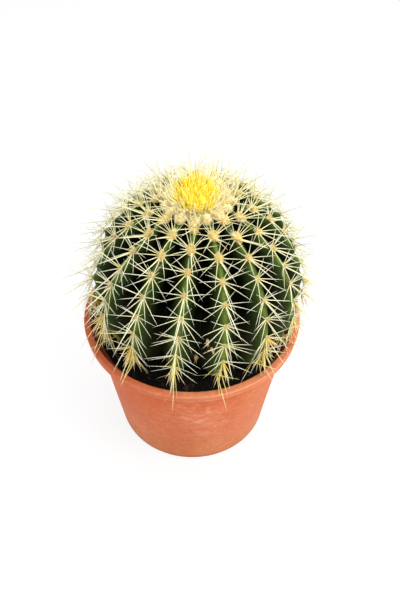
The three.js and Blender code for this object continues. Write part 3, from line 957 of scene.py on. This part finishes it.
def add_wool_lump(wool, rng, azimuth, reach, ring_size):
    """A fuzzy lump of wool, which is a coming areole."""
    outwards = polar_point(1, azimuth)
    around = Vector((-math.sin(azimuth), math.cos(azimuth), 0))
    up = (Vector((0, 0, 1)) + outwards * 0.35).normalized()
    axes = (PLANT_TURN @ around, PLANT_TURN @ around.cross(up), PLANT_TURN @ up)
    place = PLANT_PLACE @ crown_root(reach, azimuth, 1.3)
    size = ring_size * rng.uniform(0.85, 1.1)
    points, faces = lump_points(place, (size * 0.85, size, size * 0.75), axes, 4, 0.28, rng.random() * 80)
    wool.add(points, faces, [(0.0, 1.0, 0.5 + 0.6 * noise.noise(p * 1.6)) for p in points])
    for _ in range(WOOL_HAIRS):
        spread = Vector((rng.gauss(0, 1), rng.gauss(0, 1), abs(rng.gauss(0, 1)))).normalized()
        hair = axes[0] * spread.x + axes[1] * spread.y + axes[2] * spread.z
        root = place + axes[0] * spread.x * size * 0.8 + axes[1] * spread.y * size * 0.95
        root += axes[2] * spread.z * size * 0.7
        add_hair(wool, root, root + hair * rng.uniform(0.8, 2.2), 0.15, (0.0, 1.0, rng.random()))


def make_wool(rng):
    wool = Build()
    add_wool_dome(wool)
    for ring_reach, ring_size, ring_turn in WOOL_RINGS:
        for rib in range(RIBS):
            azimuth = RIB_START + RIB_TWIST * 1.3 + (rib + ring_turn) * PITCH + rng.uniform(-0.06, 0.06)
            reach = ring_reach + rng.uniform(-0.8, 0.8)
            add_wool_lump(wool, rng, azimuth, reach, ring_size)
    new_piece("crown_wool", wool, wool_material(), ("crown",))


def make_young_spines(rng):
    """Bright yellow spines in the middle, standing close together, and cream ones leaning out round them."""
    spines = Build()
    for i in range(INNER_SPINES + OUTER_SPINES):
        inner = i < INNER_SPINES
        if inner:
            share = math.sqrt((i + 0.5) / INNER_SPINES)
            reach = INNER_REACH * share
            splay = 0.5 * share ** 2 + rng.uniform(-0.3, 0.3)
            length = rng.uniform(6.0, 13.0)
            radius = rng.uniform(0.6, 1.0)
            # a few pale spines among the yellow ones
            ring = 0.5 * share ** 5 + rng.uniform(0.0, 0.36) + (0.3 if rng.random() < 0.12 else 0.0)
        else:
            reach = mix(INNER_REACH, OUTER_REACH, (i - INNER_SPINES) / OUTER_SPINES)
            splay = rng.uniform(0.2, 1.05)
            length = rng.uniform(9.5, 14.5)
            radius = rng.uniform(0.28, 0.4)
            ring = 1.0
        azimuth = i * GOLDEN_ANGLE + rng.uniform(-0.3, 0.3)
        sideways = polar_point(1, azimuth + rng.uniform(-0.5, 0.5))
        direction = PLANT_TURN @ (sideways * math.sin(splay) + Vector((0, 0, math.cos(splay))))
        bend = PLANT_TURN @ sideways * rng.uniform(-0.04, 0.08)
        root = crown_root(reach, azimuth, 1.4)
        if inner:
            # the yellow spines stand in an oval, a little towards the front, and lean that way
            root.y *= TUFT_STRETCH
            root += TUFT_OFFSET
            length *= 1 + 0.012 * root.y
            direction = (direction + TUFT_LEAN).normalized()
        root = PLANT_PLACE @ root
        add_spine(spines, root, direction, length, radius, bend, (ring, rng.random()), sink=0.6)
    new_piece("young_spines", spines, young_spine_material(), ("crown",))


def make_crown():
    rng = random.Random(19)
    make_wool(rng)
    make_young_spines(rng)


# Soil


def soil_height(x, y):
    base = mix(SOIL_CREST, SOIL_LEVEL, smoothstep(math.hypot(x, y), 50, 73))
    coarse = noise.noise(Vector((x, y, 3.0)) / 9)
    fine = noise.noise(Vector((x, y, 7.0)) / 2.8)
    return base + 1.3 * coarse + 0.7 * fine


def soil_material():
    """The traits: the first is 0 on the bed and 1 on a crumb, the third a tone by chance."""
    paint = new_paint("potting_mix")
    crumb, _, vary = paint.traits()
    grain = paint.noise(paint.place(), 420, 6, 0.7)
    bed_stops = [(0.3, (0.001, 0.0007, 0.0006)), (0.55, (0.003, 0.002, 0.0016)), (0.8, (0.01, 0.0065, 0.005))]
    bark_stops = [(0.0, (0.004, 0.003, 0.0026)), (0.8, (0.013, 0.008, 0.006)), (1.0, (0.05, 0.03, 0.019))]
    colour = paint.blend(crumb, paint.ramp(grain, bed_stops), paint.ramp(vary, bark_stops))
    paint.bump(grain, 0.9, 0.0012)
    return paint.finish({"Base Color": colour, "Roughness": 0.9, "Specular IOR Level": 0.25})


def stem_reach(azimuth, height):
    """How far the stem's skin lies from the plant's axis at a height, without its lean."""
    sine = (height - STEM_MIDDLE) / STEM_BELOW
    angle = math.asin(max(min(sine, 0.0), -1.0))
    crest, _ = crest_point(angle)
    turns = (azimuth - RIB_START - RIB_TWIST * angle) / PITCH
    place = turns - round(turns)
    return crest - furrow_depth(crest, angle) * min(abs(place) * 2.1, 1.0)


def add_soil_body(soil, wall):
    """The uneven bed, and the fill under it down to the pot's floor."""
    floor = FLOOR + SOIL_GAP
    azimuths = [math.tau * column / SOIL_COLUMNS for column in range(SOIL_COLUMNS)]
    points = []
    for row in range(SOIL_ROWS + 1):
        reach = mix(SOIL_INNER_RADIUS, wall, row / SOIL_ROWS)
        for azimuth in azimuths:
            x = reach * math.cos(azimuth)
            y = reach * math.sin(azimuth)
            points.append(Vector((x, y, soil_height(x, y))))
    low_ring = (wall_radius(floor + 5) - WALL - SOIL_GAP, floor + 5)
    bottom_ring = (wall_radius(floor) - 9, floor)
    for radius, height in (low_ring, bottom_ring):
        points.extend([polar_point(radius, azimuth, height) for azimuth in azimuths])
    middle = len(points)
    points += [Vector((0, 0, SOIL_CREST)), Vector((0, 0, floor))]
    faces = [(a, d, c, b) for a, b, c, d in ring_quads(SOIL_ROWS + 3, SOIL_COLUMNS)]
    faces += fan(0, SOIL_COLUMNS, middle)
    faces += [(b, a, tip) for a, b, tip in fan(middle - SOIL_COLUMNS, SOIL_COLUMNS, middle + 1)]
    soil.add(points, faces, [(0.0, 0.5, 0.5)] * len(points))


def add_crumbs(soil, wall):
    """Crumbs of bark and peat lying on the bed, half sunk."""
    rng = random.Random(5)
    placed = 0
    while placed < CRUMB_COUNT:
        azimuth = rng.uniform(0, math.tau)
        reach = math.sqrt(rng.uniform(CRUMB_INNER_RADIUS ** 2, (wall - 1.5) ** 2))
        x = reach * math.cos(azimuth)
        y = reach * math.sin(azimuth)
        height = soil_height(x, y)
        from_stem = math.hypot(x - STEM_OFFSET, y)
        if from_stem < stem_reach(math.atan2(y, x - STEM_OFFSET), height) - 1.0:
            continue
        placed += 1
        size = rng.uniform(0.5, 1.1) if rng.random() < 0.8 else rng.uniform(1.1, 2.2)
        turn = Matrix.Rotation(rng.uniform(0, 6.28), 3, Vector((rng.random() - 0.5, rng.random() - 0.5, 1)))
        axes = [turn @ Vector(v) for v in ((1, 0, 0), (0, 1, 0), (0, 0, 1))]
        sizes = (size * rng.uniform(0.9, 1.7), size * rng.uniform(0.6, 1.1), size * rng.uniform(0.4, 0.8))
        detail = 2 if size > 1.4 else 1
        spot = Vector((x, y, height + size * 0.15))
        points, faces = lump_points(spot, sizes, axes, detail, 0.9, rng.random() * 99)
        soil.add(points, faces, [(1.0, 0.5, rng.random())] * len(points))


def make_soil():
    soil = Build()
    wall = wall_radius(SOIL_LEVEL) - WALL - SOIL_GAP
    add_soil_body(soil, wall)
    add_crumbs(soil, wall)
    new_piece("potting_mix", soil, soil_material(), ("soil",))


# Dried scraps caught in a furrow: where the photograph shows them, in pixels, and their half sizes
SCRAP_PIXELS = [(208.0, 342.0), (195.5, 356.0), (212.5, 350.0)]
SCRAP_SIZES = [(2.6, 1.3, 1.0), (3.4, 2.2, 1.4), (2.2, 0.9, 0.6)]


def scrap_material():
    paint = new_paint("dried_scraps")
    _, _, vary = paint.traits()
    scrap_stops = [(0.2, (0.32, 0.2, 0.08)), (0.6, (0.66, 0.47, 0.2)), (1.0, (0.84, 0.68, 0.38))]
    paint.bump(paint.noise(paint.place((1, 1, 3)), 1300, 4), 0.6, 0.0003)
    return paint.finish({"Base Color": paint.ramp(vary, scrap_stops), "Roughness": 0.8})


def make_scraps(stem, camera):
    """Scraps that lie on the stem where the camera's rays through their pixels meet it."""
    rng = random.Random(3)
    tree = BVHTree.FromObject(stem, bpy.context.evaluated_depsgraph_get())
    eye = camera.matrix_world.translation
    turn = camera.matrix_world.to_3x3()
    scraps = Build()
    for (x, y), sizes in zip(SCRAP_PIXELS, SCRAP_SIZES):
        ray = turn @ Vector((x - PHOTO_WIDTH / 2, PHOTO_HEIGHT / 2 - y, -FOCAL_PIXELS))
        hit, normal, _, _ = tree.ray_cast(eye, ray.normalized())
        if hit is None:
            raise RuntimeError("a dried scrap would miss the stem")
        place = hit / MM + normal * sizes[2] * 0.6
        along = normal.cross(Vector((rng.uniform(-1, 1), 0.3, rng.uniform(-1, 1)))).normalized()
        axes = (along, normal.cross(along), normal)
        points, faces = lump_points(place, sizes, axes, 3, 0.8, rng.random() * 50)
        scraps.add(points, faces, [(0.0, 0.0, 0.55 + 0.6 * noise.noise(p * 1.4)) for p in points])
        for _ in range(4):
            spread = along * rng.uniform(-1, 1) + axes[1] * rng.uniform(-1, 1)
            spread += normal * rng.uniform(0.1, 0.6)
            spread = spread.normalized() * sizes[0]
            path = [place, place + spread * 0.9, place + spread * 1.7]
            points, faces = spike_points(path, [0.35, 0.3, 0.0], 4)
            scraps.add(points, faces, [(0.0, 0.0, rng.uniform(0.4, 1.0))] * len(points))
    new_piece("dried_scraps", scraps, scrap_material())


# Stage

FLOOR_REACH = 3000.0


def make_floor():
    corners = [(x * FLOOR_REACH, y * FLOOR_REACH, 0) for x, y in ((-1, -1), (1, -1), (1, 1), (-1, 1))]
    floor = add_object("floor", new_mesh("floor", corners, [(0, 1, 2, 3)]))
    material = new_paint("pale_floor").finish({
        "Base Color": grey(0.12),
        "Emission Color": grey(1),
        "Emission Strength": 1.04,
        "Roughness": 0.9,
        "Specular IOR Level": 0.1,
    })
    floor.data.materials.append(material)


def add_light(name, place, target, size, power, colour):
    light = bpy.data.lights.new(name, "AREA")
    light.shape = "DISK"
    light.size = size
    light.energy = power
    light.color = colour
    lamp = add_object(name, light)
    lamp.location = place
    lamp.rotation_euler = (Vector(target) - Vector(place)).to_track_quat("-Z", "Y").to_euler()


def make_light():
    middle = (0, 0, 0.12)
    add_light("key", (0.65, -0.45, 1.2), middle, 0.8, 14, (1.0, 0.985, 0.96))
    add_light("fill", (-0.9, -0.6, 0.8), middle, 1.2, 2, (0.96, 0.98, 1.0))
    add_light("overhead", (0.1, 0.1, 1.35), middle, 0.9, 12, (1.0, 1.0, 1.0))
    add_light("side", (1.0, -0.35, 0.4), (0.05, -0.05, 0.06), 0.5, 2.2, (1.0, 0.98, 0.96))
    # a pale tent: white round the horizon, like the floor, and dimmer overhead
    paint = Paint(bpy.data.worlds.new("studio"), "Background")
    split = paint.add("SeparateXYZ", {"Vector": paint.add("TexCoord").outputs["Generated"]})
    tent = paint.fade(split.outputs["Z"], 0.42, 0.62, 1.21, 0.55)
    bpy.context.scene.world = paint.finish({"Color": tent})


def make_camera():
    data = bpy.data.cameras.new("camera")
    data.sensor_width = SENSOR
    data.lens = FOCAL_PIXELS * SENSOR / PHOTO_HEIGHT
    data.clip_start = 0.01
    camera = add_object("camera", data)
    tilt = Matrix.Rotation(math.radians(90 - CAMERA_PITCH), 4, "X")
    yaw = Matrix.Rotation(math.radians(-CAMERA_YAW), 4, "Z")
    roll = Matrix.Rotation(math.radians(CAMERA_ROLL), 4, "Z")
    camera.matrix_world = Matrix.Translation(CAMERA_PLACE) @ yaw @ tilt @ roll
    bpy.context.scene.camera = camera
    bpy.context.view_layer.update()
    return camera


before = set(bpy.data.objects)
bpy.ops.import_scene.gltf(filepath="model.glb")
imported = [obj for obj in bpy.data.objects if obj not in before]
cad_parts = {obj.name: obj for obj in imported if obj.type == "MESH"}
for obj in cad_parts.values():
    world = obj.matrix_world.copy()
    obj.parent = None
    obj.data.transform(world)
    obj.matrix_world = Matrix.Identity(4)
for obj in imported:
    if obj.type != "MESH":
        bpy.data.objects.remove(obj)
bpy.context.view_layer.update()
view = bpy.context.scene.view_settings
view.view_transform = "Standard"
view.look = "None"
view.exposure = -0.27
camera = make_camera()
make_floor()
make_light()
make_pot()
make_soil()
stem = make_stem()
make_areoles()
make_crown()
make_scraps(stem, camera)
